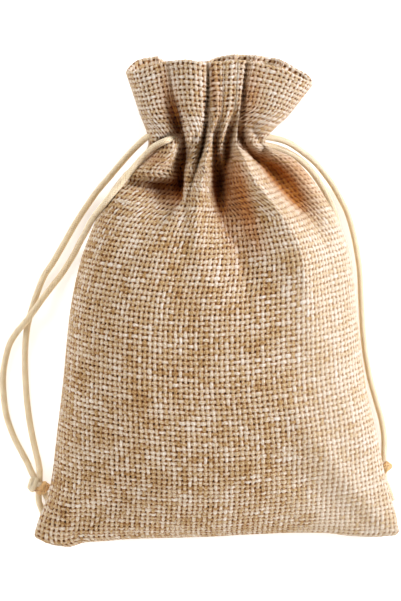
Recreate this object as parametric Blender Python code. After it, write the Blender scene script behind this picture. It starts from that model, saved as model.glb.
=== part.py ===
"""Small drawstring sack in burlap weave, drawn shut and lying on its back.

Metres, +Z up.  X runs across the sack, +Y from its bottom fold to its mouth.
The origin is under the middle of the cloth, on the surface that it lies on.
"""

import math

import bmesh
import bpy
import numpy as np
from mathutils import Vector

MM = 0.001

# Driving sizes, in millimetres
HEADING = 22.5           # cloth from the drawcords up to the mouth's hem
HEADING_WALL = 2.2       # doubled cloth of the heading, over its folded flanks
NECK_LEVEL = 42.5        # where the drawcords pull the cloth in
MOUTH_LEVEL = NECK_LEVEL + HEADING
CUP_FLOOR = 0.42         # share of the heading below which the gathers fill it
CORD_DIAMETER = 1.75

# Cross-sections of the cloth without its gathers.  Each row: level along the
# sack, left and right edge, top, side seam and underside height, and how full
# the front and the back are (1 is a pointed lens, 2 an ellipse, above 2 boxy).
SECTIONS = (
    # level   left  right    top   seam  under  front  back
    (-65.0, -47.4,  48.4,   3.6,   2.6,   1.6,  1.3,  1.3),
    (-64.4, -49.0,  49.1,   5.6,   2.8,   0.9,  1.3,  1.4),
    (-63.6, -49.5,  49.4,   7.2,   2.9,   0.6,  1.3,  1.4),
    (-62.5, -49.3,  49.2,   9.4,   3.1,   0.3,  1.4,  1.5),
    (-59.0, -48.2,  48.6,  13.8,   3.7,  -0.3,  1.5,  1.7),
    (-54.0, -46.3,  47.2,  18.6,   4.9,  -0.8,  1.7,  2.0),
    (-47.0, -44.6,  45.4,  23.6,   7.0,  -1.2,  1.9,  2.4),
    (-37.0, -43.4,  43.4,  28.4,   9.8,  -1.3,  2.1,  2.8),
    (-22.0, -41.6,  40.1,  32.4,  12.0,  -1.3,  2.2,  3.0),
    ( -4.0, -39.8,  37.9,  34.0,  13.2,  -1.3,  2.3,  3.0),
    ( 10.0, -37.0,  36.5,  32.6,  13.5,  -1.2,  2.3,  2.8),
    ( 21.0, -33.0,  32.9,  29.2,  13.3,  -0.9,  2.2,  2.6),
    ( 28.0, -29.8,  29.0,  25.8,  12.8,  -0.3,  2.1,  2.4),
    ( 34.0, -25.4,  23.4,  22.4,  12.2,   1.0,  2.0,  2.1),
    ( 38.5, -20.6,  16.2,  20.6,  11.8,   2.9,  2.0,  2.0),
    ( 42.5, -18.4,  12.4,  20.4,  11.6,   4.0,  2.1,  2.0),
    ( 53.0, -21.2,  19.4,  24.0,  12.0,   2.2,  2.6,  2.0),
    ( 65.0, -24.6,  26.0,  27.0,  12.6,   0.9,  2.8,  2.0),
)

# How tight the gathers are: 0 gives soft waves, 1 tubes with sharp creases.
TIGHTNESS = (
    (-20.0, 0.0), (5.0, 0.15), (20.0, 0.5), (30.0, 0.85), (42.5, 1.0), (50.0, 0.9), (65.0, 0.45),
)

# Valleys between the front gathers, from left to right.  Each row of a valley:
# level, place across in millimetres, depth below the cloth's outline.
FRONT_VALLEYS = {
    "left": (
        (-20.0, -22.0, 0.0), (14.0, -20.0, 0.0), (20.0, -15.5, 1.2), (24.0, -12.0, 3.4),
        (28.0, -9.8, 6.2), (34.0, -9.7, 7.2), (38.0, -9.4, 7.0), (42.5, -9.7, 6.4),
        (50.0, -11.4, 6.0), (55.0, -12.3, 3.4), (65.0, -13.4, 1.4),
    ),
    "centre_left": (
        (-20.0, -9.0, 0.0), (18.0, -8.6, 0.0), (25.0, -8.0, 0.6), (31.0, -7.0, 2.4),
        (36.0, -5.6, 3.6), (42.5, -4.0, 5.0), (52.0, -2.2, 2.8), (65.0, -2.4, 1.8),
    ),
    "centre": (
        (-20.0, 9.0, 0.0), (-7.0, 8.6, 0.5), (0.0, 8.2, 2.0), (7.0, 7.1, 3.8),
        (13.5, 5.6, 5.0), (17.5, 3.7, 5.8), (21.5, 1.7, 6.6), (25.5, 0.4, 7.4),
        (30.5, -0.7, 8.0), (35.0, -0.8, 7.2), (38.0, -0.7, 5.6), (42.5, -0.6, 4.4),
        (52.0, 1.4, 2.2), (65.0, 1.9, 1.6),
    ),
    "centre_right": (
        (-20.0, 17.0, 0.0), (-5.0, 15.5, 0.2), (6.0, 12.6, 1.5), (14.0, 10.0, 2.9),
        (20.0, 7.4, 4.2), (25.0, 5.1, 5.8), (30.0, 3.7, 7.2), (34.0, 3.1, 7.4),
        (38.0, 2.7, 6.4), (42.5, 3.0, 5.2), (52.0, 5.0, 2.2), (65.0, 5.6, 1.6),
    ),
    "right": (
        (-20.0, 31.0, 0.0), (12.0, 30.0, 0.0), (21.5, 26.0, 1.4), (26.5, 22.0, 3.0),
        (32.5, 16.8, 4.2), (37.0, 12.6, 4.6), (40.0, 9.3, 5.0), (42.5, 6.9, 5.2),
        (52.0, 6.9, 3.4), (65.0, 8.2, 2.4),
    ),
}

# Gathers between those valleys.  Each row: level, how far the crest stands
# out from the outline, and where it lies between its two valleys (0 to 1).
FRONT_CRESTS = {
    "left_lobe": ((-20.0, 0.0, 0.5), (34.0, 0.0, 0.6), (42.5, 0.4, 0.6), (65.0, 0.0, 0.5)),
    "tall_lobe": ((-20.0, 0.0, 0.5), (34.0, 0.2, 0.5), (42.5, 0.2, 0.5), (65.0, 0.3, 0.8)),
    "bright_tube": (
        (-20.0, 0.0, 0.5), (0.0, 0.3, 0.4), (12.0, 0.8, 0.3), (22.0, 1.4, 0.32),
        (34.0, 2.2, 0.5), (42.5, 1.5, 0.5),
        (50.0, -1.3, 0.5), (65.0, -1.2, 0.5),
    ),
    "set_back": (
        (-20.0, 0.0, 0.5), (-5.0, -0.4, 0.5), (7.0, -2.9, 0.5), (14.0, -4.2, 0.5),
        (20.0, -5.2, 0.5), (28.0, -7.0, 0.5), (33.0, -7.2, 0.5), (37.0, -4.6, 0.5),
        (42.5, -0.8, 0.5), (50.0, -1.4, 0.5), (65.0, -1.2, 0.5),
    ),
    "right_tube": (
        (-20.0, 0.0, 0.5), (0.0, 1.8, 0.5), (12.0, 4.0, 0.48), (24.0, 4.2, 0.47),
        (34.0, 2.8, 0.42), (42.5, 0.6, 0.5), (52.0, -1.2, 0.5), (65.0, -1.2, 0.5),
    ),
    "right_lobe": ((-20.0, 0.0, 0.5), (34.0, 0.0, 0.5), (42.5, 0.2, 0.4), (65.0, 0.0, 0.4)),
}

# How flat a gather's two sides are: 0 for a rounded gather, 1 for one folded like paper
FLATNESS = {
    "left_lobe": 0.1, "tall_lobe": 0.2, "bright_tube": 0.6, "set_back": 0.6, "right_tube": 0.85,
    "right_lobe": 0.15,
}

# The back gathers are alike: place across as a share of the neck's width,
# with its own small shift, and how far down the back the fold runs.
BACK_GATHERS = (
    # share   shift  runs_down
    (0.86,   0.3,   22.0),
    (0.72,  -0.4,   14.0),
    (0.57,   0.5,   18.0),
    (0.43,  -0.2,   10.0),
    (0.29,   0.4,   20.0),
    (0.14,  -0.3,   15.0),
)
BACK_DEPTH_NECK = 5.0
BACK_DEPTH_MOUTH = 3.2

# Creases laid over the front by hand: a start, a middle and an end (across,
# level), half the width and the height (below zero is a trough).
CREASES = (
    # start             middle           end              width height
    ((-9.8, 44.5),   (-11.0, 36.0),   (-23.5, 34.0),   1.6,   4.4),
    ((-9.0, 31.5),   (-15.0, 30.8),   (-25.0, 31.4),   1.6,  -5.4),
    ((-9.5, 28.0),   (-12.5, 28.4),   (-20.0, 28.6),   3.2,  -4.4),
    ((13.2, 37.8),   (17.8, 32.4),    (25.4, 22.0),    3.8,  -4.6),
    ((48.0, -63.0),  (34.0, -49.0),   (21.0, -30.0),   3.4,   1.3),
    ((44.0, -63.0),  (25.0, -50.0),   (10.0, -40.0),   3.4,  -0.9),
    ((-48.0, -63.0), (-38.0, -52.0),  (-27.0, -44.0),  3.2,   1.1),
    ((-41.0, -63.0), (-26.0, -53.0),  (-12.0, -46.0),  3.2,  -0.8),
    ((-16.0, 24.0),  (-26.0, 12.0),   (-31.0, -4.0),   3.4,  -0.8),
    ((20.0, 24.0),   (27.0, 12.0),    (31.0, -2.0),    3.2,  -0.8),
)

# How far the bottom fold leaves a straight line, by share of its width.
BOTTOM_LINE = (
    (0.0, -0.2), (0.03, -1.5), (0.075, -2.0), (0.12, -0.8), (0.18, -0.4), (0.25, 0.1), (0.46, 0.7),
    (0.6, 1.4), (0.72, 1.8), (0.8, 1.7), (0.88, 0.9), (0.94, 0.7), (1.0, 1.1),
)
BOTTOM_REACH = 14.0      # distance over which that line dies out up the sack

# How far the mouth's hem falls short of its full height, once round: gather, shortfall
RIM_DROOP = (
    (0.0, 2.8), (0.5, 2.4), (0.75, 1.4), (1.0, 0.1), (1.5, -0.1), (2.0, 0.7), (2.5, 0.4),
    (3.0, 0.2), (3.5, -0.1), (4.0, -0.3), (5.0, -0.3), (5.15, 0.0), (5.3, 0.3), (5.45, 1.0),
    (5.6, 1.6), (5.8, 2.2), (6.0, 2.6), (6.3, 1.3), (6.7, -0.2), (7.0, -1.8), (7.6, -2.2),
    (8.3, -2.1), (9.0, -1.8), (9.6, -0.8), (10.0, 0.6), (11.4, 0.7), (11.6, 0.3),
    (11.9, -0.8), (12.3, -0.3), (12.6, 1.2), (13.0, 2.8),
)

COLUMNS_SIDE_GATHER = 10
COLUMNS_GATHER = 6
BODY_ROWS = 30
HEADING_ROWS = 7
CUP_ROWS = 4

# Routes of the four strands, from the neck to the knot (across, along, up).
# The sack's two cords leave it on opposite sides, each with both of its ends.
CORD_ROUTES = {
    "cord_left_outer": (
        (-20.4, 43.3, 12.9), (-22.2, 41.2, 11.5), (-25.3, 37.8, 8.8), (-29.1, 33.4, 5.2),
        (-32.5, 29.5, 2.2), (-35.6, 25.1, 0.98), (-38.4, 20.8, 0.98), (-43.9, 11.2, 0.98),
        (-46.9, 6.5, 0.98), (-49.0, 1.4, 0.98), (-50.4, -3.0, 0.98), (-51.5, -7.5, 0.98),
        (-52.1, -14.0, 0.98), (-52.0, -21.0, 0.98), (-51.5, -28.0, 0.98), (-50.5, -35.0, 0.98),
        (-49.1, -41.5, 0.98), (-48.4, -44.4, 1.1), (-48.1, -47.1, 1.7),
    ),
    "cord_left_inner": (
        (-15.0, 42.5, 19.3), (-17.3, 41.1, 18.2), (-19.5, 39.0, 17.5), (-21.4, 37.0, 18.4),
        (-23.0, 35.0, 19.7), (-24.8, 32.9, 19.1), (-26.8, 30.4, 19.0), (-28.8, 28.0, 19.3),
        (-30.8, 25.4, 19.0), (-32.7, 23.2, 17.5),
        (-34.6, 21.0, 12.8), (-35.9, 18.4, 7.0), (-37.2, 15.6, 3.0), (-38.4, 13.2, 1.3),
        (-39.9, 10.6, 0.98), (-42.2, 7.0, 0.98), (-44.7, 3.8, 1.6), (-47.4, 0.2, 3.1), (-49.7, -3.0, 3.35),
        (-51.8, -5.8, 3.1), (-54.4, -8.9, 1.4), (-56.5, -12.6, 0.98), (-57.9, -18.9, 0.98),
        (-58.0, -24.5, 0.98), (-57.2, -31.2, 0.98), (-55.2, -37.0, 0.98), (-53.0, -41.3, 0.98),
        (-51.3, -44.5, 1.1), (-50.1, -47.1, 1.7),
    ),
    "cord_right_outer": (
        (14.3, 44.1, 11.8), (19.1, 42.7, 10.4), (23.2, 40.1, 8.0), (27.0, 36.9, 5.2),
        (30.6, 32.4, 2.5), (33.2, 28.2, 1.0), (35.7, 23.0, 0.98), (37.5, 16.2, 0.98),
        (38.8, 8.1, 0.98), (39.2, 0.0, 0.98), (39.9, -10.8, 0.98), (41.3, -19.9, 0.98),
        (43.1, -26.8, 0.98), (44.7, -32.4, 0.98), (45.4, -37.0, 0.98), (45.5, -39.6, 1.1),
        (45.4, -41.8, 1.7),
    ),
    "cord_right_inner": (
        (14.4, 41.7, 9.8), (18.9, 40.1, 8.6), (23.3, 37.3, 6.4), (26.9, 33.3, 3.8),
        (29.9, 28.4, 1.6), (32.1, 23.0, 0.98), (33.6, 16.0, 0.98), (34.9, 8.0, 0.98),
        (35.5, 0.0, 0.98), (36.3, -10.0, 0.98), (37.7, -20.0, 0.98), (39.7, -28.5, 0.98),
        (41.9, -35.2, 0.98), (42.8, -38.8, 1.0), (43.1, -41.8, 1.6),
    ),
}
POINTS_A_STRAND = 60

# Knots: middle, half length, half width, half height and turn in plan.
KNOTS = {
    "knot_left": ((-48.3, -50.4, 2.1), 2.9, 2.5, 2.0, -73.0),
    "knot_right": ((44.2, -45.0, 1.9), 2.8, 2.1, 1.8, -88.0),
}

# Free ends past each knot (across, along, up).
TAIL_ROUTES = {
    "tail_left_outer": ((-48.4, -53.8, 1.5), (-47.8, -56.2, 0.98), (-46.6, -59.4, 0.98)),
    "tail_left_inner": ((-46.3, -53.2, 1.5), (-45.4, -55.8, 0.98), (-43.9, -58.6, 0.98)),
    "tail_right_outer": ((45.4, -48.3, 1.5), (46.4, -50.8, 0.98), (47.7, -54.6, 0.98)),
    "tail_right_inner": ((43.0, -48.4, 1.5), (44.0, -51.2, 0.98), (45.3, -54.2, 0.98)),
}
POINTS_A_TAIL = 8


def along(table, column, at):
    """Read one column of a table at each level, on a smooth curve with no overshoot."""
    stops = np.array([row[0] for row in table], float)
    values = np.array([row[column] for row in table], float)
    slope = np.diff(values) / np.diff(stops)
    tangent = np.concatenate(([slope[0]], np.zeros(len(slope) - 1), [slope[-1]]))
    for i in range(1, len(slope)):
        if slope[i - 1] * slope[i] > 0:
            tangent[i] = 2 * slope[i - 1] * slope[i] / (slope[i - 1] + slope[i])
    at = np.clip(at, stops[0], stops[-1])
    i = np.clip(np.searchsorted(stops, at, side="right") - 1, 0, len(slope) - 1)
    width = stops[i + 1] - stops[i]
    f = (at - stops[i]) / width
    rise = values[i + 1] - values[i]
    bend = tangent[i] * width * f * (1 - f) ** 2 - tangent[i + 1] * width * f ** 2 * (1 - f)
    return values[i] + rise * f ** 2 * (3 - 2 * f) + bend


def signed_power(value, power):
    return np.sign(value) * np.abs(value) ** power


def valley_angles(levels):
    """Angle and depth of every valley at each level, once round from the left seam."""
    left = along(SECTIONS, 1, levels)
    right = along(SECTIONS, 2, levels)
    neck_left = along(SECTIONS, 1, NECK_LEVEL)
    neck_right = along(SECTIONS, 2, NECK_LEVEL)
    angles = [np.zeros_like(levels)]
    depths = [np.zeros_like(levels)]

    def share_to_angle(share, fullness):
        return np.arccos(signed_power(1 - 2 * np.clip(share, 0.02, 0.98), fullness / 2))

    for path in FRONT_VALLEYS.values():
        share = (along(path, 1, levels) - left) / (right - left)
        angles.append(share_to_angle(share, along(SECTIONS, 6, levels)))
        depths.append(along(path, 2, levels))
    angles.append(np.full_like(levels, math.pi))
    depths.append(np.zeros_like(levels))
    for share, shift, runs_down in BACK_GATHERS:
        path = (
            (-20.0, 0.0), (NECK_LEVEL - runs_down, 0.0), (NECK_LEVEL - 3, BACK_DEPTH_NECK),
            (NECK_LEVEL + 5, BACK_DEPTH_NECK), (MOUTH_LEVEL, BACK_DEPTH_MOUTH),
        )
        place = share + shift / (neck_right - neck_left)
        angles.append(2 * math.pi - share_to_angle(place + 0 * levels, along(SECTIONS, 7, levels)))
        depths.append(along(path, 1, levels))
    angles.append(np.full_like(levels, 2 * math.pi))
    depths.append(np.zeros_like(levels))
    return np.array(angles), np.array(depths)


def outline(levels, columns):
    """The cloth's outline without gathers: X and Z, a row for each level."""
    angles, _ = valley_angles(levels)
    gather = np.minimum(columns.astype(int), len(angles) - 2)
    share = columns - gather
    angle = (angles[gather] * (1 - share)[:, None] + angles[gather + 1] * share[:, None]).T
    front = angle <= math.pi

    def column_of(index):
        return along(SECTIONS, index, levels)[:, None]

    left, right, seam = column_of(1), column_of(2), column_of(4)
    fullness = np.where(front, column_of(6), column_of(7))
    height = np.where(front, column_of(3) - seam, seam - column_of(5))
    x = (left + right) / 2 - (right - left) / 2 * signed_power(np.cos(angle), 2 / fullness)
    z = seam + height * signed_power(np.sin(angle), 2 / fullness)
    return x, z, angle


def gather_depth(levels, columns):
    """How far the cloth lies in from its outline, at each level and column."""
    _, depths = valley_angles(levels)
    tight = along(TIGHTNESS, 1, levels)
    crests = list(FRONT_CRESTS.values())
    result = np.zeros((len(levels), len(columns)))
    for j, column in enumerate(columns):
        gather = min(int(column), len(depths) - 2)
        share = column - gather
        if gather < len(crests):
            crest = along(crests[gather], 1, levels)
            place = along(crests[gather], 2, levels)
            flat = list(FLATNESS.values())[gather]
        else:
            crest = np.zeros_like(levels)
            place = np.full_like(levels, 0.5)
            flat = 0.0
        left_of_crest = share < place
        away = np.where(left_of_crest, (place - share) / place, (share - place) / (1 - place))
        away = np.clip(away, 0, 1)
        depth = np.where(left_of_crest, depths[gather], depths[gather + 1])
        soft = (1 - np.cos(math.pi * away)) / 2
        tube = 1 - np.sqrt(1 - away ** 2)
        shape = soft * (1 - tight) + tube * tight
        result[:, j] = -crest + (depth + crest) * (shape * (1 - flat) + away * flat)
    return result


def crease_height(x, y):
    """Sum of the creases laid over the front, at points given in plan."""
    total = np.zeros_like(x)
    steps = np.linspace(0, 1, 24)
    for start, middle, end, width, height in CREASES:
        nearest = np.full_like(x, np.inf)
        fade = np.zeros_like(x)
        for f in steps:
            px = (1 - f) ** 2 * start[0] + 2 * f * (1 - f) * middle[0] + f * f * end[0]
            py = (1 - f) ** 2 * start[1] + 2 * f * (1 - f) * middle[1] + f * f * end[1]
            distance = np.hypot(x - px, y - py)
            closer = distance < nearest
            nearest = np.where(closer, distance, nearest)
            fade = np.where(closer, math.sin(math.pi * (0.12 + 0.76 * f)), fade)
        total += height * fade * np.exp(-((nearest / width) ** 2))
    return total


def outward(x, z):
    """Unit normals of closed sections, a row for each level."""
    dx = np.roll(x, -1, axis=1) - np.roll(x, 1, axis=1)
    dz = np.roll(z, -1, axis=1) - np.roll(z, 1, axis=1)
    size = np.hypot(dx, dz) + 1e-9
    return -dz / size, dx / size


def cloth(levels, columns, inset=0.0):
    """Points of the cloth, or of a surface that far inside it, in millimetres."""
    x, z, _ = outline(levels, columns)
    nx, nz = outward(x, z)
    depth = gather_depth(levels, columns) + inset
    neck = np.array([NECK_LEVEL])
    mouth = np.array([MOUTH_LEVEL])
    neck_x, neck_z, _ = outline(neck, columns)
    mouth_x, mouth_z, _ = outline(mouth, columns)
    spread = (mouth_x - neck_x) ** 2 + (mouth_z - neck_z) ** 2
    droop = along(RIM_DROOP, 1, columns)
    rise = np.sqrt(HEADING ** 2 - np.minimum(spread, 0.8 * HEADING ** 2)) - droop
    share = np.clip((levels - NECK_LEVEL) / HEADING, 0, 1)[:, None]
    left = along(SECTIONS, 1, levels)[:, None]
    right = along(SECTIONS, 2, levels)[:, None]
    across = np.clip((x - left) / (right - left), 0, 1)
    settle = np.exp(-(levels - SECTIONS[0][0]) / BOTTOM_REACH)[:, None]
    y = np.minimum(levels, NECK_LEVEL)[:, None] + share * rise
    y = y + along(BOTTOM_LINE, 1, across) * settle
    x = x - nx * depth
    z = z - nz * depth
    z = z + crease_height(x, y) * np.clip(nz, 0, 1) ** 0.5
    return np.stack((x, y, np.maximum(z, 0)), axis=2)


def column_places():
    """Places round the sack: a gather's number plus the share across it."""
    places = []
    gathers = len(FRONT_CRESTS) + len(BACK_GATHERS) + 1
    for gather in range(gathers):
        beside_seam = gather in (0, len(FRONT_CRESTS) - 1, len(FRONT_CRESTS), gathers - 1)
        count = COLUMNS_SIDE_GATHER if beside_seam else COLUMNS_GATHER
        for k in range(count):
            f = k / count
            places.append(gather + f - 0.35 * math.sin(2 * math.pi * f) / (2 * math.pi))
    return np.array(places)


def row_levels():
    """Levels of the body's rows, closer together at the bottom and the neck."""
    f = np.linspace(0, 1, BODY_ROWS)
    eased = 0.62 * f + 0.38 * (1 - np.cos(math.pi * f)) / 2
    return SECTIONS[0][0] + (NECK_LEVEL - SECTIONS[0][0]) * eased


def add_mesh_object(collection, name, points, faces, material):
    mesh = bpy.data.meshes.new(name)
    mesh.from_pydata([tuple(p) for p in points], [], faces)
    mesh.validate()
    built = bmesh.new()
    built.from_mesh(mesh)
    bmesh.ops.triangulate(built, faces=built.faces[:])
    bmesh.ops.recalc_face_normals(built, faces=built.faces[:])
    built.to_mesh(mesh)
    built.free()
    mesh.shade_smooth()
    mesh.materials.append(material)
    piece = bpy.data.objects.new(name, mesh)
    collection.objects.link(piece)
    return piece


def make_sack(collection, material, shift):
    """One filled solid: the cloth's outside, its hem, and the cup of the mouth."""
    columns = column_places()
    heading = NECK_LEVEL + HEADING * np.linspace(0, 1, HEADING_ROWS + 1)[1:]
    outside = cloth(np.concatenate((row_levels(), heading)), columns)
    inner_levels = NECK_LEVEL + HEADING * np.linspace(1, CUP_FLOOR, CUP_ROWS)
    inside = cloth(inner_levels, columns, inset=HEADING_WALL)
    grid = np.concatenate((outside, inside)) + shift
    rows, around = grid.shape[:2]
    points = list(grid.reshape(-1, 3) * MM)
    faces = []
    for r in range(rows - 1):
        for c in range(around):
            d = (c + 1) % around
            faces.append((r * around + c, r * around + d, (r + 1) * around + d, (r + 1) * around + c))
    faces.append(tuple(reversed(range(around))))
    cup_middle = grid[-1].mean(axis=0) * MM
    points.append(cup_middle)
    last = (rows - 1) * around
    for c in range(around):
        faces.append((last + c, last + (c + 1) % around, len(points) - 1))
    return add_mesh_object(collection, "sack", points, faces, material)


def smooth_route(route, count):
    """Evenly spaced points on a smooth curve through the route's points."""
    knots = [Vector(p) for p in route]
    knots = [2 * knots[0] - knots[1]] + knots + [2 * knots[-1] - knots[-2]]
    dense = []
    for a, b, c, d in zip(knots, knots[1:], knots[2:], knots[3:]):
        for k in range(16):
            f = k / 16
            dense.append(
                0.5 * (2 * b + (c - a) * f + (2 * a - 5 * b + 4 * c - d) * f ** 2
                       + (3 * b - a - 3 * c + d) * f ** 3)
            )
    dense.append(knots[-2])
    dense = np.array(dense)
    run = np.concatenate(([0], np.cumsum(np.linalg.norm(np.diff(dense, axis=0), axis=1))))
    even = np.linspace(0, run[-1], count)
    return np.column_stack([np.interp(even, run, dense[:, axis]) for axis in range(3)])


def make_cord(collection, name, route, count, material, shift):
    """A tube along a smooth curve through the route, in a node of its own."""
    curve = bpy.data.curves.new(name, "CURVE")
    curve.dimensions = "3D"
    curve.bevel_depth = CORD_DIAMETER / 2 * MM
    curve.bevel_resolution = 2
    curve.use_fill_caps = True
    spline = curve.splines.new("POLY")
    points = (smooth_route(route, count) + shift) * MM
    spline.points.add(len(points) - 1)
    for place, point in zip(points, spline.points):
        point.co = (*place, 1)
    curve.materials.append(material)
    piece = bpy.data.objects.new(name, curve)
    collection.objects.link(piece)
    return piece


def make_knot(collection, name, knot, material, shift):
    """Overhand knot of two strands: a rounded body with three twisted turns."""
    middle, half_length, half_width, half_height, turn = knot
    built = bmesh.new()
    bmesh.ops.create_uvsphere(built, u_segments=24, v_segments=14, radius=1)
    for vertex in built.verts:
        p = vertex.co.copy()
        round_angle = math.atan2(p.y, p.x)
        groove = 1 + 0.1 * (1 - p.z * p.z) * math.cos(3 * round_angle + 2.2 * p.z)
        vertex.co = Vector((p.z * half_length, p.x * half_width * groove, p.y * half_height * groove))
        vertex.co *= MM
    mesh = bpy.data.meshes.new(name)
    built.to_mesh(mesh)
    built.free()
    mesh.shade_smooth()
    mesh.materials.append(material)
    piece = bpy.data.objects.new(name, mesh)
    piece.location = (Vector(middle) + Vector(shift)) * MM
    piece.rotation_euler.z = math.radians(turn)
    collection.objects.link(piece)
    return piece


def make_material(name, colour, roughness):
    material = bpy.data.materials.new(name)
    material.use_nodes = True
    shader = material.node_tree.nodes["Principled BSDF"]
    shader.inputs["Base Color"].default_value = (*colour, 1)
    shader.inputs["Roughness"].default_value = roughness
    shader.inputs["Metallic"].default_value = 0
    return material


def main():
    for old in list(bpy.data.objects):
        bpy.data.objects.remove(old, do_unlink=True)
    collection = bpy.data.collections.new("drawstring_sack")
    bpy.context.scene.collection.children.link(collection)
    burlap = make_material("burlap", (0.58, 0.43, 0.28), 0.9)
    cord = make_material("cream_cord", (0.8, 0.71, 0.56), 0.7)

    # The origin goes to the middle of the cloth's own box
    probe = cloth(np.concatenate((row_levels(), [MOUTH_LEVEL])), column_places())
    low, high = probe.min(axis=(0, 1)), probe.max(axis=(0, 1))
    shift = np.array((-(low[0] + high[0]) / 2, -(low[1] + high[1]) / 2, 0))

    make_sack(collection, burlap, shift)
    for name, route in CORD_ROUTES.items():
        make_cord(collection, name, route, POINTS_A_STRAND, cord, shift)
    for name, route in TAIL_ROUTES.items():
        make_cord(collection, name, route, POINTS_A_TAIL, cord, shift)
    for name, knot in KNOTS.items():
        make_knot(collection, name, knot, cord, shift)


main()
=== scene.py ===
import math

import bpy
import numpy as np
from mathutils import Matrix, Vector


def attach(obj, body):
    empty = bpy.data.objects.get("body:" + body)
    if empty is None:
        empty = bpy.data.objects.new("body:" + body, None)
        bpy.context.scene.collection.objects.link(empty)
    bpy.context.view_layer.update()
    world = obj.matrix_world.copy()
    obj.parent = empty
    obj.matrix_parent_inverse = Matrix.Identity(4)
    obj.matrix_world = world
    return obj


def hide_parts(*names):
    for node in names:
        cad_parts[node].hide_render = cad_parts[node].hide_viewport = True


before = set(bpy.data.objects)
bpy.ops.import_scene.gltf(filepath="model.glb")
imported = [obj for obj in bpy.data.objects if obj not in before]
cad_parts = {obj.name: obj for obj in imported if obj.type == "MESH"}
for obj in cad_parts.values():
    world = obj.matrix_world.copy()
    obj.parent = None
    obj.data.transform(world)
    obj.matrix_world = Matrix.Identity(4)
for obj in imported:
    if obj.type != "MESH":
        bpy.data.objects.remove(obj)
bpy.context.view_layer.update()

MM = 0.001

# --- Stage: a plain white floor, soft daylight from the upper right, and the camera.
# The sack lies on its back, so the camera looks straight down on its face.

SEAM_HEIGHT = 0.012
VIEW_HEIGHT = 0.1624324    # how much the view takes in, at the height of the seams
CAMERA_HEIGHT = 2.4
CAMERA_CENTRE = (-0.0044, 0.0008)
scene = bpy.context.scene


def linear(hex_colour):
    """A linear colour from an sRGB hex value."""
    channels = [int(hex_colour[i:i + 2], 16) / 255 for i in (1, 3, 5)]
    return (*(c / 12.92 if c <= 0.04045 else ((c + 0.055) / 1.055) ** 2.4 for c in channels), 1.0)


def new_material(name, inputs):
    """A material with one Principled shader, set up as given, and that shader."""
    material = bpy.data.materials.new(name)
    material.use_nodes = True
    shader = material.node_tree.nodes["Principled BSDF"]
    for key, value in inputs.items():
        shader.inputs[key].default_value = value
    return material, shader


def new_object(name, data):
    made = bpy.data.objects.new(name, data)
    scene.collection.objects.link(made)
    return made


def add_light(name, place, size, power, colour, aim=(0.0, 0.0, 0.01)):
    """A square soft light that looks at a point."""
    lamp = bpy.data.lights.new(name, "AREA")
    lamp.shape = "SQUARE"
    lamp.size = size
    lamp.energy = power
    lamp.color = linear(colour)[:3]
    light = new_object(name, lamp)
    light.location = place
    light.rotation_euler = (Vector(aim) - Vector(place)).to_track_quat("-Z", "Y").to_euler()
    light.visible_camera = False


# White acrylic table, lit a little from below so that it stays plain white under the sack
table, _ = new_material("white_acrylic_table", {
    "Roughness": 0.7, "Base Color": linear("#F4F3F1"),
    "Emission Color": linear("#FFFFFF"), "Emission Strength": 0.52,
})
bpy.ops.mesh.primitive_plane_add(size=3.0)
floor = bpy.context.object
floor.name = "floor"
floor.data.materials.append(table)

add_light("side_window", (0.80, 0.22, 0.42), 0.34, 12.0, "#F2F6FF")
add_light("left_fill", (-0.78, 0.06, 0.34), 0.50, 3.2, "#F6F9FF")
add_light("top_softbox", (-0.35, 0.90, 0.50), 0.45, 5.6, "#FFFDFA")
add_light("front_softbox", (-0.05, -0.75, 0.75), 0.60, 3.75, "#FFFAF3")
add_light("white_card", (-0.02, -0.24, 0.11), 0.24, 0.17, "#FFFEFC", aim=(0.0, -0.03, 0.01))
world = bpy.data.worlds.new("studio")
world.use_nodes = True
background = world.node_tree.nodes["Background"].inputs
background["Color"].default_value = linear("#FFD9AE")
background["Strength"].default_value = 0.07
scene.world = world
scene.view_settings.view_transform = "Standard"

camera_data = bpy.data.cameras.new("camera")
camera_data.sensor_fit = "VERTICAL"
camera_data.sensor_height = 36.0
camera_data.lens = camera_data.sensor_height * (CAMERA_HEIGHT - SEAM_HEIGHT) / VIEW_HEIGHT
camera_data.clip_start = 0.05
camera = new_object("camera", camera_data)
camera.location = (*CAMERA_CENTRE, CAMERA_HEIGHT)
scene.camera = camera


# --- Drawcords: two cream cords, 1.75 mm thick, round-braided from eight polyester yarns.
# Each leaves the casing at one side with both its ends, which lie down the sack's
# flank on the floor and go into one knot. A strand is one tube, free end included.

# The tables are in millimetres from the middle of the sack's girth; this takes them to the
# part's own origin
TABLE_TO_FRAME = np.array((0.05, 0.94, 0.0))
CORD_DIAMETER = 1.75
CORD_AROUND = 24      # corners of a cord's section
CORD_STEP = 0.18      # distance between its sections
CURVE_STEPS = 16      # steps in which a curve is drawn between two of its places
ON_FLOOR = 0.98       # height of a cord's middle where it lies on the floor
BRAID_YARNS = 4       # yarns that turn each way
BRAID_CELL = 1.4      # length in which they come back to the same place
BRAID_RELIEF = 0.12   # how far the yarns stand over the lines between them
YARN_SHOWS = 0.27     # height from which a yarn has its own colour, not the painted shade of the lines between yarns
DYE_SCALE = 800.0     # patches of dye to a metre
LIGHT_REACH = 0.001   # how far light goes inside the cord

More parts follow.
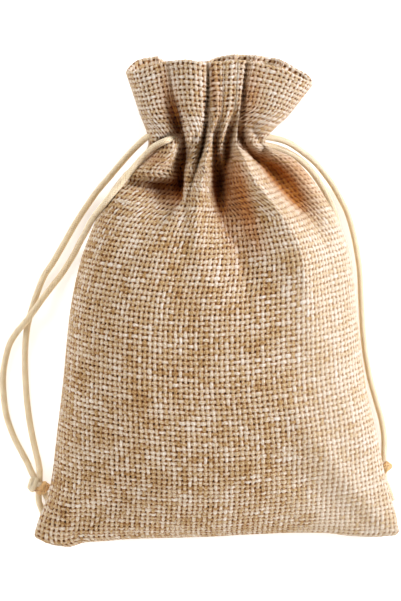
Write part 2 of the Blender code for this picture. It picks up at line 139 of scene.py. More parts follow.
# Places that each strand and its free end pass; those of two numbers lie on the floor
CORD_ROUTES = {
    "cord_left_outer": (
        (-16, 45, 14.2), (-19, 43.9, 13.4), (-22, 41.3, 11.6), (-25.3, 37.8, 8.8), (-29.1, 33.4, 5.2),
        (-32.5, 29.5, 2.2), (-35.6, 25.1), (-38.4, 20.8), (-43.9, 11.2), (-46.9, 6.5), (-49, 1.4),
        (-50.4, -3), (-51.5, -7.5), (-52.1, -14), (-52, -21), (-51.5, -28), (-50.5, -35), (-49.1, -41.5),
        (-48.4, -44.4, 1.1), (-48.1, -47.1, 1.7),
    ),
    "cord_left_inner": (
        (-11.6, 43.7, 15), (-13.4, 43.1, 18), (-15.2, 42.3, 17.6), (-17.3, 41.1, 16), (-19.5, 39, 15.3),
        (-21.4, 37, 16.2), (-23, 35, 18), (-24.8, 32.9, 18.2), (-26.8, 30.4, 18.2), (-28.8, 28, 18.3),
        (-30.8, 25.4, 17.6), (-32.6, 23.2, 15.4), (-34.2, 21, 11.4), (-35.6, 18.4, 6.6),
        (-37.2, 15.6, 2.8), (-38.4, 13.2, 1.2), (-39.9, 10.6), (-42.2, 7), (-44.7, 3.8, 1.6),
        (-47.4, 0.2, 3.1), (-49.7, -3, 3.35), (-51.8, -5.8, 3.1), (-54.4, -8.9, 1.4), (-56.5, -12.6),
        (-57.9, -18.9), (-58, -24.5), (-57.2, -31.2), (-55.2, -37), (-53, -41.3), (-51.3, -44.5, 1.1),
        (-50.1, -47.1, 1.7),
    ),
    "cord_right_outer": (
        (10.6, 44.2, 13.2), (14.6, 43.9, 12), (19.1, 42.7, 10.4), (23.2, 40.1, 8), (27, 36.9, 5.2),
        (30.6, 32.4, 2.5), (33.2, 28.2, 1), (35.7, 23), (37.5, 16.2), (38.8, 8.1), (39.2, 0),
        (39.9, -10.8), (41.3, -19.9), (43.1, -26.8), (44.7, -32.4), (45.4, -37), (45.5, -39.6, 1.1),
        (45.4, -41.8, 1.7),
    ),
    "cord_right_inner": (
        (10.8, 42, 11.6), (14.6, 41.6, 10), (18.9, 40.1, 8.6), (23.3, 37.3, 6.4), (26.9, 33.3, 3.8),
        (29.9, 28.4, 1.6), (32.1, 23), (33.6, 16), (34.9, 8), (35.5, 0), (36.3, -10), (37.7, -20),
        (39.7, -28.5), (41.9, -35.2), (42.8, -38.8, 1), (43.1, -41.8, 1.6),
    ),
}
TAIL_ROUTES = {
    "tail_left_outer": ((-48.4, -53.8, 1.5), (-47.8, -56.2), (-46.6, -59.4)),
    "tail_left_inner": ((-46.3, -53.2, 1.5), (-45.4, -55.8), (-43.9, -58.6)),
    "tail_right_outer": ((45.4, -48.3, 1.5), (46.4, -50.8), (47.7, -54.6)),
    "tail_right_inner": ((43, -48.4, 1.5), (44, -51.2), (45.3, -54.2)),
}


def run_along(points):
    """Distance from a line's first point to each of its points."""
    steps = np.linalg.norm(np.diff(points, axis=0), axis=1)
    return np.concatenate(([0], np.cumsum(steps)))


def resampled(at, run, points):
    """A line's points at other distances along it."""
    return np.column_stack([np.interp(at, run, values) for values in points.T])


def smooth_route(route, step, closed=False):
    """Evenly spaced points on a smooth curve through the route's points."""
    stops = [np.array((*place, ON_FLOOR)[:3], float) for place in route]
    if closed:
        stops = [stops[-1]] + stops + stops[:2]
    else:
        stops = [2 * stops[0] - stops[1]] + stops + [2 * stops[-1] - stops[-2]]
    dense = []
    for a, b, c, d in zip(stops, stops[1:], stops[2:], stops[3:]):
        for f in np.arange(CURVE_STEPS) / CURVE_STEPS:
            dense.append(
                0.5 * (2 * b + (c - a) * f + (2 * a - 5 * b + 4 * c - d) * f ** 2
                       + (3 * b - a - 3 * c + d) * f ** 3)
            )
    dense.append(stops[-2])
    dense = np.array(dense)
    run = run_along(dense)
    return resampled(np.linspace(0, run[-1], max(3, round(run[-1] / step)) + 1), run, dense)


def to_frame(points):
    return (points + TABLE_TO_FRAME) * MM


def mesh_piece(name, points, faces, material, **maps):
    """A new object from points in the tables' millimetres, with the maps named."""
    mesh = bpy.data.meshes.new(name)
    mesh.from_pydata([tuple(p) for p in to_frame(points)], [], faces)
    for map_name, uvs in maps.items():
        layer = mesh.uv_layers.new(name=map_name)
        layer.uv.foreach_set("vector", np.asarray(uvs, np.float32).ravel())
    mesh.materials.append(material)
    mesh.shade_smooth()
    return new_object(name, mesh)


def cord_tube(line, radius, closed=False):
    """Points and faces of a cord along a line in the tables' millimetres, and its two maps:
    one that fills the square, and one of turns and lengths for the braid's yarns."""
    ahead = np.roll(line, -1, axis=0) - np.roll(line, 1, axis=0)
    if not closed:
        ahead[0], ahead[-1] = line[1] - line[0], line[-1] - line[-2]
    ahead /= np.linalg.norm(ahead, axis=1)[:, None]
    side = np.cross(ahead[0], (0.0, 0.0, 1.0))
    angle = 2 * math.pi * np.arange(CORD_AROUND) / CORD_AROUND
    run = run_along(line)
    run = np.append(run, run[-1] + CORD_STEP)
    rings = []
    for place, direction, distance in zip(line, ahead, run):
        side = side - direction * side.dot(direction)
        side /= np.linalg.norm(side)
        up = np.cross(side, direction)
        turn = 2 * math.pi * distance / BRAID_CELL
        yarn = np.abs(np.sin(BRAID_YARNS * angle + turn) * np.sin(BRAID_YARNS * angle - turn))
        reach = (radius + BRAID_RELIEF * (yarn - 0.5))[:, None]
        rings.append(place + reach * (np.outer(np.cos(angle), side) + np.outer(np.sin(angle), up)))
    faces, fill, braid = [], [], []
    count = len(line)
    for r in range(count if closed else count - 1):
        here, there = r * CORD_AROUND, (r + 1) % count * CORD_AROUND
        for c in range(CORD_AROUND):
            d = (c + 1) % CORD_AROUND
            faces.append((here + c, here + d, there + d, there + c))
            low, high = c / CORD_AROUND, (c + 1) / CORD_AROUND
            for u, v in ((low, r), (high, r), (high, r + 1), (low, r + 1)):
                fill.append((u, v / count))
                braid.append((u, run[v] / BRAID_CELL))
    if not closed:
        for end, first in ((0, 0), (1, (count - 1) * CORD_AROUND)):
            ring = [first + c for c in range(CORD_AROUND)]
            faces.append(tuple(ring if end else reversed(ring)))
            fill += [(0.5, end)] * CORD_AROUND
            braid += [(c / CORD_AROUND, 0.0) for c in range(CORD_AROUND)]
    return np.concatenate(rings), faces, fill, braid


def join_tubes(tubes):
    """Several tubes as one mesh, each in its own strip of the map that fills the square."""
    points, faces, fill, braid = [], [], [], []
    count = 0
    for k, (tube_points, tube_faces, tube_fill, tube_braid) in enumerate(tubes):
        points.append(tube_points)
        faces += [tuple(i + count for i in face) for face in tube_faces]
        fill += [((u + k) / len(tubes), v) for u, v in tube_fill]
        braid += tube_braid
        count += len(tube_points)
    return np.concatenate(points), faces, fill, braid


def add_node(tree, kind, inputs=(), **settings):
    """Adds a node, sets it up, feeds its inputs in order or by name, and gives its first output."""
    made = tree.nodes.new(kind)
    for name, value in settings.items():
        setattr(made, name, value)
    for key, value in inputs.items() if isinstance(inputs, dict) else enumerate(inputs):
        if isinstance(value, bpy.types.NodeSocket):
            tree.links.new(value, made.inputs[key])
        else:
            made.inputs[key].default_value = value
    return made.outputs[0]


VECTORS = "ShaderNodeVectorMath"


# This one and the next three work in the tree of the socket that they are given
def maths(operation, *values, kind="ShaderNodeMath"):
    tree = next(value.id_data for value in values if isinstance(value, bpy.types.NodeSocket))
    return add_node(tree, kind, values, operation=operation)


def noise(place, scale, detail, roughness=0.5):
    inputs = {"Vector": place, "Scale": scale, "Detail": detail, "Roughness": roughness}
    return add_node(place.id_data, "ShaderNodeTexNoise", inputs)


def ranged(value, start, stop, low=0.0, high=1.0, curve="LINEAR"):
    """Goes from low to high while the value goes from start to stop."""
    inputs = {"Value": value, "From Min": start, "From Max": stop, "To Min": low, "To Max": high}
    return add_node(value.id_data, "ShaderNodeMapRange", inputs, interpolation_type=curve)


def blend(share, colour, other, way="MIX"):
    """A colour, with another mixed in or multiplied on by that share."""
    colours = {0: share, 6: colour, 7: other}
    mixed = add_node(share.id_data, "ShaderNodeMix", colours, data_type="RGBA", blend_type=way)
    return mixed.node.outputs[2]


def braided_cord(name, groove_shade_colour, yarn_colour, dye_share):
    """A cord's material: fine yarns that turn both ways, with painted shade in the lines between them."""
    material, shader = new_material(name, {
        "Roughness": 0.6, "Sheen Weight": 0.15,
        "Subsurface Weight": 0.5, "Subsurface Radius": (1.0, 1.0, 1.0), "Subsurface Scale": LIGHT_REACH,
    })
    tree = material.node_tree
    braid = add_node(tree, "ShaderNodeUVMap", uv_map="braid")
    around_and_along = add_node(tree, "ShaderNodeSeparateXYZ", (braid,)).node.outputs
    waves = []
    for way in (1.0, -1.0):
        phase = maths("MULTIPLY", around_and_along[0], 2 * math.pi * BRAID_YARNS)
        phase = maths("MULTIPLY_ADD", around_and_along[1], 2 * math.pi * way, phase)
        waves.append(maths("SINE", phase))
    height = maths("ABSOLUTE", maths("MULTIPLY", *waves))
    place = add_node(tree, "ShaderNodeTexCoord").node.outputs["Object"]
    dye = noise(place, DYE_SCALE, 1.0)
    tone = maths("MULTIPLY_ADD", dye, dye_share, height)
    tone = ranged(tone, 0.5 * dye_share - 0.1, 0.5 * dye_share + YARN_SHOWS)
    # Painted shade: the lines between the yarns take the dark colour
    colour = blend(tone, linear(groove_shade_colour), linear(yarn_colour))
    tree.links.new(colour, shader.inputs["Base Color"])
    bump = add_node(tree, "ShaderNodeBump", {"Strength": 0.8, "Distance": 0.00015, "Height": height})
    tree.links.new(bump, shader.inputs["Normal"])
    return material


# Braided polyester: cream, evenly dyed and a little translucent, with a low sheen; the dark brown of the
# lines between its yarns is painted shade
cord_material = braided_cord("braided_polyester_cord", "#A67434", "#FDEAC8", 0.4)

for strand_name, strand_route in CORD_ROUTES.items():
    tail_name = strand_name.replace("cord", "tail")
    strand_line = smooth_route(strand_route + TAIL_ROUTES[tail_name], CORD_STEP)
    points, faces, fill, braid = cord_tube(strand_line, CORD_DIAMETER / 2)
    piece = mesh_piece(
        strand_name.replace("cord", "strand"), points, faces, cord_material, OFBake=fill, braid=braid
    )
    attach(piece, "root")
    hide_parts(strand_name, tail_name)


# --- Knots: each cord's two ends are tied together in one tight overhand knot.
# Two turns lie side by side at each end, and two more cross between them and hide the
# strands' way through.

KNOTS = {
    # middle, lean of its turns
    "knot_left": ((-48.5, -50.6, 2.3), 0.0),
    "knot_right": ((44.2, -45.0, 2.28), -14.0),
}
KNOT_TURNS = (
    # across, down, angle, half length, half height
    (-1.85, 0.75, 72, 0.95, 1.05),
    (-1.05, 0.4, 64, 1.3, 1.25),
    (1.05, -0.45, 58, 1.3, 1.3),
    (1.9, -0.65, 52, 0.95, 1.05),
    (0, 0.55, -24, 1.35, 0.8),
    (0.2, -0.75, -14, 1.25, 0.7),
)
KNOT_SHADED_TURNS = (2, 3, 5)   # turns painted in shade
KNOT_CORD = 1.7           # the cord's thickness where the knot squeezes it
RING_STOPS = 18           # points on a turn's oval


def knot_tubes(knot):
    """The turns of one knot: upright oval rings that cross one another."""
    middle, lean = knot
    around = (np.arange(RING_STOPS) + 0.5) / RING_STOPS * 2 * math.pi
    tubes = []
    for across, down, angle, half_length, half_height in KNOT_TURNS:
        turn = math.radians(angle + lean)
        ring = np.column_stack((
            middle[0] + across + half_length * np.cos(around) * math.cos(turn),
            middle[1] + down + half_length * np.cos(around) * math.sin(turn),
            middle[2] + half_height * np.sin(around),
        ))
        tubes.append(cord_tube(smooth_route(ring, CORD_STEP, closed=True)[:-1], KNOT_CORD / 2, closed=True))
    return tubes


# The same cord with painted shade: browner and more orange in patches, on the knot's turns that lie in
# shade
shaded_knot_material = braided_cord("rubbed_polyester_cord", "#844210", "#EABD80", 1.6)

for knot_name, knot in KNOTS.items():
    points, faces, fill, braid = join_tubes(knot_tubes(knot))
    piece = mesh_piece(
        knot_name.replace("knot", "overhand_knot"), points, faces, cord_material, OFBake=fill, braid=braid
    )
    piece.data.materials.append(shaded_knot_material)
    turn_faces = len(faces) // len(KNOT_TURNS)
    # Painted shade on the knot's shaded turns
    for turn in KNOT_SHADED_TURNS:
        for face in piece.data.polygons[turn * turn_faces:(turn + 1) * turn_faces]:
            face.material_index = 1
    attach(piece, "root")
    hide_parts(knot_name)
    for which in ("outer", "inner"):
        strand_name = knot_name.replace("knot", "cord") + "_" + which


# --- Sack cloth: two burlap panels in one length, folded at the bottom and sewn up the
# sides, with the top turned in as a doubled heading. The cloth follows its outline, pulled in
# by the gathers' valleys, and is spread along its surface so that the threads keep their pitch.

WEFT_PITCH = 1.47        # the wefts are beaten up a little looser than the warps
THREADS_ACROSS = 72      # warps to a panel
BODY_LENGTH = 119.0      # cloth from the bottom fold to the drawcords
HEADING = 22.5           # from there to the mouth's hem
TURNED_IN = 20.5         # from the hem down the inside
NECK_LEVEL = 42.5
MOUTH_LEVEL = NECK_LEVEL + HEADING
HEM_GAP = 1.3            # from the outside of the heading to its turned-in layer
HEM_STEPS = 4            # steps in which the hem turns over
SAMPLES_A_THREAD = 3
BODY_LEVELS = 400        # levels at which the body's folds are worked out
FINE_COLUMNS = 1000      # and columns, in each panel
PANEL_WIDTH = 100.0
PLEAT_WIDTH = 0.05       # half the width over which a pleat takes up cloth, as a share of a gather
PLEATS_OPEN_OVER = 0.5   # share of the heading over which the neck's folds become pleats
FRONT_PLEATS = (0.5, 1.0, 0.2, 0.2, 1.0)     # shares of the spare cloth, at the front's valleys

# The sack's outline at each level, with the fullness of its front and back: 2 for an ellipse
SECTIONS = (
    # level, left, right, top, seam, under, front, back
    (-65, -47.4, 48.4, 2.7, 2.6, 2.5, 1.3, 1.3),
    (-64.4, -49, 49.1, 5.2, 2.8, 0.9, 1.3, 1.4),
    (-63.6, -49.5, 49.4, 7, 2.9, 0.6, 1.3, 1.4),
    (-62.5, -49.3, 49.2, 9.4, 3.1, 0.3, 1.4, 1.5),
    (-59, -48.2, 48.6, 13.8, 3.7, -0.3, 1.5, 1.7),
    (-54, -46.3, 47.2, 18.6, 4.9, -0.8, 1.7, 2),
    (-47, -44.6, 45.4, 23.6, 7, -1.2, 1.9, 2.4),
    (-37, -43.4, 43.4, 28.4, 9.8, -1.3, 2.1, 2.8),
    (-22, -41.6, 40.1, 32.4, 12, -1.3, 2.2, 3),
    (-4, -39.8, 37.9, 34, 13.2, -1.3, 2.3, 3),
    (10, -37, 36.5, 32.6, 13.5, -1.2, 2.3, 2.8),
    (21, -33, 32.9, 29.2, 13.3, -0.9, 2.2, 2.6),
    (28, -29.8, 29, 25.8, 12.8, -0.3, 2.1, 2.4),
    (34, -25.4, 24.8, 22.4, 12.2, 1, 2, 2.1),
    (38.5, -20.6, 20.4, 20.6, 11.8, 2.9, 2, 2),
    (42.5, -18.4, 13, 20.4, 11.6, 4, 2.1, 2),
    (53, -21.2, 19.4, 24, 12, 2.2, 2.6, 2),
    (65, -24.6, 26, 27, 12.6, 0.9, 2.8, 2),
)
LEFT, RIGHT, TOP, SEAM, UNDER, FRONT, BACK = range(1, 8)     # its columns after the level
BOTTOM_LEVEL = SECTIONS[0][0]
# How tightly the gathers are drawn in at each level, from waves to folded tubes
TIGHTNESS = (
    (-20, 0), (5, 0.15), (20, 0.5), (30, 0.85), (42.5, 1), (50, 0.9), (65, 0.45),
)

# Valleys between the front gathers, from left to right: level, place across, depth
FRONT_VALLEYS = {
    "left": (
        (-20, -22, 0), (14, -20, 0), (20, -15.5, 1.2), (24, -12, 3.4), (28, -9.8, 6.2), (34, -9.7, 7.2),
        (38, -9.4, 7), (42.5, -9.7, 6.4), (50, -11.4, 6), (55, -12.3, 3.4), (65, -13.4, 1.4),
    ),
    "centre_left": (
        (-20, -9, 0), (18, -8.6, 0), (25, -8, 0.6), (31, -7, 2.4), (36, -5.6, 3.6), (42.5, -4, 5),
        (52, -2.2, 2.8), (65, -2.4, 1.8),
    ),
    "centre": (
        (-20, 9, 0), (-7, 8.6, 0.5), (0, 8.2, 2), (7, 7.1, 3.8), (13.5, 5.6, 5), (17.5, 3.7, 5.8),
        (21.5, 1.7, 6.6), (25.5, 0.4, 7.4), (30.5, -0.7, 8), (35, -0.8, 7.2), (38, -0.7, 5.6),
        (42.5, -0.6, 4.4), (52, 1.4, 2.2), (65, 1.9, 1.6),
    ),
    "centre_right": (
        (-20, 17, 0), (-5, 15.5, 0.2), (6, 12.6, 1.5), (14, 10, 2.9), (20, 7.4, 4.2), (25, 5.1, 5.8),
        (30, 3.7, 7.2), (34, 3.1, 7.4), (38, 2.7, 6.4), (42.5, 3, 5.2), (52, 5, 2.2), (65, 5.6, 1.6),
    ),
    "right": (
        (-20, 31, 0), (12, 30, 0), (21.5, 26, 1.4), (26.5, 22, 3), (32.5, 16.8, 4.2), (37, 12.6, 4.6),
        (40, 9.3, 5), (42.5, 6.9, 5.2), (52, 6.9, 3.4), (65, 8.2, 2.4),
    ),
}
# Gathers between them: level, how far the crest stands out, its place between the valleys
FRONT_CRESTS = {
    "left_lobe": ((-20, 0, 0.5), (34, 0, 0.6), (42.5, 0.4, 0.6), (65, 0, 0.5)),
    "tall_lobe": ((-20, 0, 0.5), (34, 0.2, 0.5), (42.5, 0.2, 0.5), (65, 0.3, 0.8)),
    "bright_tube": (
        (-20, 0, 0.5), (0, 0.3, 0.4), (12, 0.8, 0.3), (22, 1.4, 0.32), (34, 2.2, 0.5), (42.5, 1.5, 0.5),
        (50, -1.3, 0.5), (65, -1.2, 0.5),
    ),
    "set_back": (
        (-20, 0, 0.5), (-5, -0.4, 0.5), (7, -2.9, 0.5), (14, -4.2, 0.5), (20, -5.2, 0.5), (28, -7, 0.5),
        (33, -7.2, 0.5), (37, -4.6, 0.5), (42.5, -0.8, 0.5), (50, -1.4, 0.5), (65, -1.2, 0.5),
    ),
    "right_tube": (
        (-20, 0, 0.5), (0, 1.8, 0.5), (12, 4, 0.48), (24, 4.2, 0.47), (34, 2.8, 0.42), (42.5, 0.6, 0.5),
        (52, -1.2, 0.5), (65, -1.2, 0.5),
    ),
    "right_lobe": ((-20, 0, 0.5), (34, 0, 0.5), (42.5, 0.2, 0.4), (65, 0, 0.4)),
}
# How flat each one's two sides are: 0 for a rounded gather, 1 for one folded like paper
FLATNESS = (0.1, 0.2, 0.6, 0.6, 0.85, 0.15)
# The back's gathers: where each valley is, as a share of the width, and how far down it goes
BACK_GATHERS = (
    # share, shift, how far down
    (0.86, 0.3, 22),
    (0.72, -0.4, 14),
    (0.57, 0.5, 18),
    (0.43, -0.2, 10),
    (0.29, 0.4, 20),
    (0.14, -0.3, 15),
)
BACK_DEPTH_NECK = 5.0
BACK_DEPTH_MOUTH = 3.2

# Creases laid over the front, each on a line that is bent towards its middle place
CREASES = (
    # start, middle and end (across, level), width, height
    ((-9.8, 44.5), (-11, 36), (-23.5, 34), 1.6, 4.4),
    ((-9, 31.5), (-15, 30.8), (-25, 31.4), 1.6, -5.4),
    ((-10.2, 40.5), (-10.2, 35), (-9.6, 28), 1.3, -6),
    ((-9.5, 28), (-12.5, 28.4), (-20, 28.6), 3.2, -4.4),
    ((-12.4, 54), (-10.8, 49), (-9.6, 40), 1.5, -5.5),
    ((-2.4, 64.4), (-2.4, 50), (-4.2, 39), 0.6, -3.6),
    ((0.8, 48), (-0.6, 42), (-0.8, 36), 1, -3.5),
    ((0.6, 38), (0.4, 32), (1.6, 24.5), 1.5, -7.5),
    ((5.2, 51), (3, 44), (2.8, 38), 1, -3.5),
    ((8, 64.4), (6.7, 50), (6.9, 41), 0.6, -3.6),
    ((9, 42), (12.5, 37.5), (19, 31.5), 1.5, -3),
    ((13.2, 37.8), (17.8, 32.4), (25.4, 22), 3.8, -4.6),
    ((-8.9, 45), (-8.4, 41), (-8.8, 36.5), 0.8, -3),
    ((-6, 45), (-7.6, 40), (-8.4, 35), 0.8, -2.6),
    ((-1.7, 45.5), (-4.3, 40.8), (-5.6, 35.5), 0.8, -1.6),
    ((-1.1, 46.5), (0.3, 40), (0.5, 35), 0.8, -3),
    ((3.4, 47.5), (3, 42.4), (2.2, 37), 0.8, -3),
    ((5.6, 47.5), (6.6, 42.7), (11.4, 36.8), 0.9, -3.4),
    ((9.7, 46.5), (11.6, 42.4), (13.8, 38.5), 0.9, -2.4),
    ((-12.6, 44.6), (-16.4, 41.6), (-22.4, 35.8), 1.1, -4.2),
    ((48, -63), (34, -49), (21, -30), 3.4, 1.3),
    ((44, -63), (25, -50), (10, -40), 3.4, -0.9),
    ((-48, -63), (-38, -52), (-27, -44), 3.2, 1.1),
    ((-41, -63), (-26, -53), (-12, -46), 3.2, -0.8),
    ((-16, 24), (-26, 12), (-31, -4), 3.4, -0.8),
    ((20, 24), (27, 12), (31, -2), 3.2, -0.8),
)
# Stretches of painted shade: browner cloth where it faces the deep folds, laid out in the same way
FOLD_SHADE_STRETCHES = (
    # start, middle and end, width, share
    ((4.6, 39), (6.4, 28), (11, 14), 2.4, 1),
    ((13.6, 37.8), (18.6, 32.4), (25.4, 23), 3.4, 0.9),
    ((17.5, 41.5), (24, 36), (28, 29), 3.2, 0.8),
    ((-21.5, 40.5), (-17.5, 39), (-15, 37), 2, 0.6),
    ((9.9, 62.5), (9.2, 55), (8.3, 46), 2.6, 0.5),
    ((-1, 63), (-0.4, 56), (0.4, 49), 1.6, 0.4),
    ((-14.2, 61), (-13.2, 54), (-11.6, 46), 2.2, 0.55),
)
FOLD_SHADE_FROM, FOLD_SHADE_BY = 3.0, 9.0      # depth in a fold from which the cloth is painted browner as shade, and at which it is fully so
# How far the bottom fold is drawn up or hangs: share of its width, height
BOTTOM_LINE = (
    (0, -0.2), (0.03, -1.5), (0.075, -2), (0.12, -0.8), (0.18, -0.4), (0.25, 0.1), (0.46, 0.7),
    (0.6, 1.4), (0.72, 1.8), (0.8, 1.7), (0.88, 0.9), (0.94, 0.7), (1, 1.1),
)
BOTTOM_REACH = 14.0      # how far up the bottom line's unevenness dies away

# How far the mouth's hem falls short of its full height, once round: gather, shortfall
RIM_DROOP = (
    (0, 2.8), (0.5, 2.4), (0.75, 1.4), (1, 0.1), (1.5, -0.1), (2, 0.7), (2.5, 0.4), (3, 0.2), (3.5, -0.1),
    (4, -0.3), (5, -0.3), (5.15, 0), (5.3, 0.3), (5.45, 1), (5.6, 1.6), (5.8, 2.2), (6, 2.6), (6.3, 1.3),
    (6.7, -0.2), (7, -1.8), (7.6, -2.2), (8.3, -2.1), (9, -1.8), (9.6, -0.8), (10, 0.6), (11.4, 0.7),
    (11.6, 0.3), (11.9, -0.8), (12.3, -0.3), (12.6, 1.2), (13, 2.8),
)


def smooth_step(f):
    return f ** 2 * (3 - 2 * f)


def along(table, column, at):
    """Read one column of a table at each level, on a smooth curve with no overshoot."""
    stops = np.array([row[0] for row in table], float)
    values = np.array([row[column] for row in table], float)
    slope = np.diff(values) / np.diff(stops)
    tangent = np.concatenate(([slope[0]], np.zeros(len(slope) - 1), [slope[-1]]))
    for i in range(1, len(slope)):
        if slope[i - 1] * slope[i] > 0:
            tangent[i] = 2 * slope[i - 1] * slope[i] / (slope[i - 1] + slope[i])
    at = np.clip(at, stops[0], stops[-1])
    i = np.clip(np.searchsorted(stops, at, side="right") - 1, 0, len(slope) - 1)
    width = stops[i + 1] - stops[i]
    f = (at - stops[i]) / width
    rise = values[i + 1] - values[i]
    bend = tangent[i] * width * f * (1 - f) ** 2 - tangent[i + 1] * width * f ** 2 * (1 - f)
    return values[i] + rise * smooth_step(f) + bend


def signed_power(value, power):
    return np.sign(value) * np.abs(value) ** power


def valley_angles(levels):
    """Angle and depth of every valley at each level, once round from the left seam."""
    left = along(SECTIONS, LEFT, levels)
    right = along(SECTIONS, RIGHT, levels)
    neck_left = along(SECTIONS, LEFT, NECK_LEVEL)
    neck_right = along(SECTIONS, RIGHT, NECK_LEVEL)
    seam = np.zeros_like(levels)
    angles, depths = [seam], [seam]

    def share_to_angle(share, fullness):
        return np.arccos(signed_power(1 - 2 * np.clip(share, 0.02, 0.98), fullness / 2))

    for path in FRONT_VALLEYS.values():
        share = (along(path, 1, levels) - left) / (right - left)
        angles.append(share_to_angle(share, along(SECTIONS, FRONT, levels)))
        depths.append(along(path, 2, levels))
    angles.append(seam + math.pi)
    depths.append(seam)
    for share, shift, runs_down in BACK_GATHERS:
        path = (
            (-20.0, 0.0), (NECK_LEVEL - runs_down, 0.0), (NECK_LEVEL - 3, BACK_DEPTH_NECK),
            (NECK_LEVEL + 5, BACK_DEPTH_NECK), (MOUTH_LEVEL, BACK_DEPTH_MOUTH),
        )
        place = share + shift / (neck_right - neck_left)
        angles.append(2 * math.pi - share_to_angle(place + seam, along(SECTIONS, BACK, levels)))
        depths.append(along(path, 1, levels))
    angles.append(seam + 2 * math.pi)
    depths.append(seam)
    return np.array(angles), np.array(depths)


def outline(levels, columns):
    """The cloth's outline without gathers: X and Z, a row for each level."""
    angles, _ = valley_angles(levels)
    gather = np.minimum(columns.astype(int), len(angles) - 2)
    share = columns - gather
    angle = (angles[gather] * (1 - share)[:, None] + angles[gather + 1] * share[:, None]).T
    front = angle <= math.pi

    def column_of(index):
        return along(SECTIONS, index, levels)[:, None]

    left, right, seam = column_of(LEFT), column_of(RIGHT), column_of(SEAM)
    fullness = np.where(front, column_of(FRONT), column_of(BACK))
    height = np.where(front, column_of(TOP) - seam, seam - column_of(UNDER))
    x = (left + right) / 2 - (right - left) / 2 * signed_power(np.cos(angle), 2 / fullness)
    z = seam + height * signed_power(np.sin(angle), 2 / fullness)
    return x, z


def gather_depth(levels, columns):
    """How far the cloth lies in from its outline, at each level and column."""
    _, depths = valley_angles(levels)
    tight = along(TIGHTNESS, 1, levels)[:, None]
    crests = list(FRONT_CRESTS.values())
    result = np.zeros((len(levels), len(columns)))
    number = np.minimum(columns.astype(int), len(depths) - 2)
    for gather in range(len(depths) - 1):
        chosen = np.flatnonzero(number == gather)
        share = (columns[chosen] - gather)[None, :]
        if gather < len(crests):
            crest = along(crests[gather], 1, levels)[:, None]
            place = along(crests[gather], 2, levels)[:, None]
            flat = FLATNESS[gather]
        else:
            crest, place, flat = 0.0, 0.5, 0.0
        before = share < place
        away = np.clip(np.where(before, (place - share) / place, (share - place) / (1 - place)), 0, 1)
        depth = np.where(before, depths[gather][:, None], depths[gather + 1][:, None])
        shape = (1 - np.cos(math.pi * away)) / 2 * (1 - tight) + (1 - np.sqrt(1 - away ** 2)) * tight
        result[:, chosen] = -crest + (depth + crest) * (shape * (1 - flat) + away * flat)
    return result


STROKE_POINTS = 24
STROKE_ENDS = 0.12       # a stroke's strength at its ends, as a share of a half wave


def strokes(x, y, table):
    """Sum of the soft strokes laid over the front, at points given in plan."""
    total = np.zeros_like(x)
    f = np.linspace(0, 1, STROKE_POINTS)[:, None]
    for start, middle, end, width, height in table:
        path = (1 - f) ** 2 * np.array(start) + 2 * f * (1 - f) * np.array(middle) + f * f * np.array(end)
        low, high = path.min(axis=0) - 3 * width, path.max(axis=0) + 3 * width
        near = (x > low[0]) & (x < high[0]) & (y > low[1]) & (y < high[1])
        distance = np.hypot(x[near][:, None] - path[:, 0], y[near][:, None] - path[:, 1])
        nearest = distance.argmin(axis=1)
        fade = np.sin(math.pi * (STROKE_ENDS + (1 - 2 * STROKE_ENDS) * f[nearest, 0]))
        distance = distance[np.arange(len(nearest)), nearest]
        total[near] += height * fade * np.exp(-((distance / width) ** 2))
    return total


MOST_SPREAD = 0.8        # of the heading's length, squared, that leaning outwards can take up


def cloth_surface(levels, columns, inset):
    """Points of the cloth, or of a layer that far inside it, a row for each level.
    The fourth value is how much painted fold shade the cloth has there, from 0 to 1."""
    x, z = outline(levels, columns)
    dx = np.gradient(x, axis=1)
    dz = np.gradient(z, axis=1)
    size = np.hypot(dx, dz) + 1e-9
    nx, nz = -dz / size, dx / size
    depth = gather_depth(levels, columns) + inset[:, None]
    neck_x, neck_z = outline(np.array([NECK_LEVEL]), columns)
    mouth_x, mouth_z = outline(np.array([MOUTH_LEVEL]), columns)
    spread = (mouth_x - neck_x) ** 2 + (mouth_z - neck_z) ** 2
    droop = along(RIM_DROOP, 1, columns)
    rise = np.sqrt(HEADING ** 2 - np.minimum(spread, MOST_SPREAD * HEADING ** 2)) - droop
    share = np.clip((levels - NECK_LEVEL) / HEADING, 0, 1)[:, None]
    left = along(SECTIONS, LEFT, levels)[:, None]
    right = along(SECTIONS, RIGHT, levels)[:, None]
    across = np.clip((x - left) / (right - left), 0, 1)
    settle = np.exp(-(levels - BOTTOM_LEVEL) / BOTTOM_REACH)[:, None]
    y = np.minimum(levels, NECK_LEVEL)[:, None] + share * rise
    y = y + along(BOTTOM_LINE, 1, across) * settle
    x = x - nx * depth
    z = z - nz * depth
    faces_up = np.clip(nz, 0, 1)
    crease = strokes(x, y, CREASES) * faces_up ** 0.5
    # Painted shade: browner with depth in the folds, and along the stretches listed
    painted_fold_shade = np.clip((depth - crease - FOLD_SHADE_FROM) / (FOLD_SHADE_BY - FOLD_SHADE_FROM), 0, 1)
    painted_fold_shade = painted_fold_shade + strokes(x, y, FOLD_SHADE_STRETCHES) * faces_up
    return np.stack((x, y, z + crease, np.clip(painted_fold_shade, 0, 1)), axis=2)


def spread_rows(surface, count):
    """Each row's points moved along it so that they are evenly spaced."""
    rows = []
    for row in surface:
        run = run_along(row[:, :3])
        rows.append(resampled(np.linspace(0, run[-1], count), run, row))
    return np.stack(rows)


def spread_down(surface, levels, columns, count):
    """Rows spaced evenly from the bottom up, measured over the sack's outline without its folds."""
    x, z = outline(levels, columns)
    calm = spread_rows(np.stack((x, levels[:, None] + 0 * x, z), axis=2), surface.shape[1])
    lines = []
    for column in range(surface.shape[1]):
        run = run_along(calm[:, column])
        lines.append(resampled(np.linspace(0, run[-1], count), run, surface[:, column]))
    return np.stack(lines, axis=1)


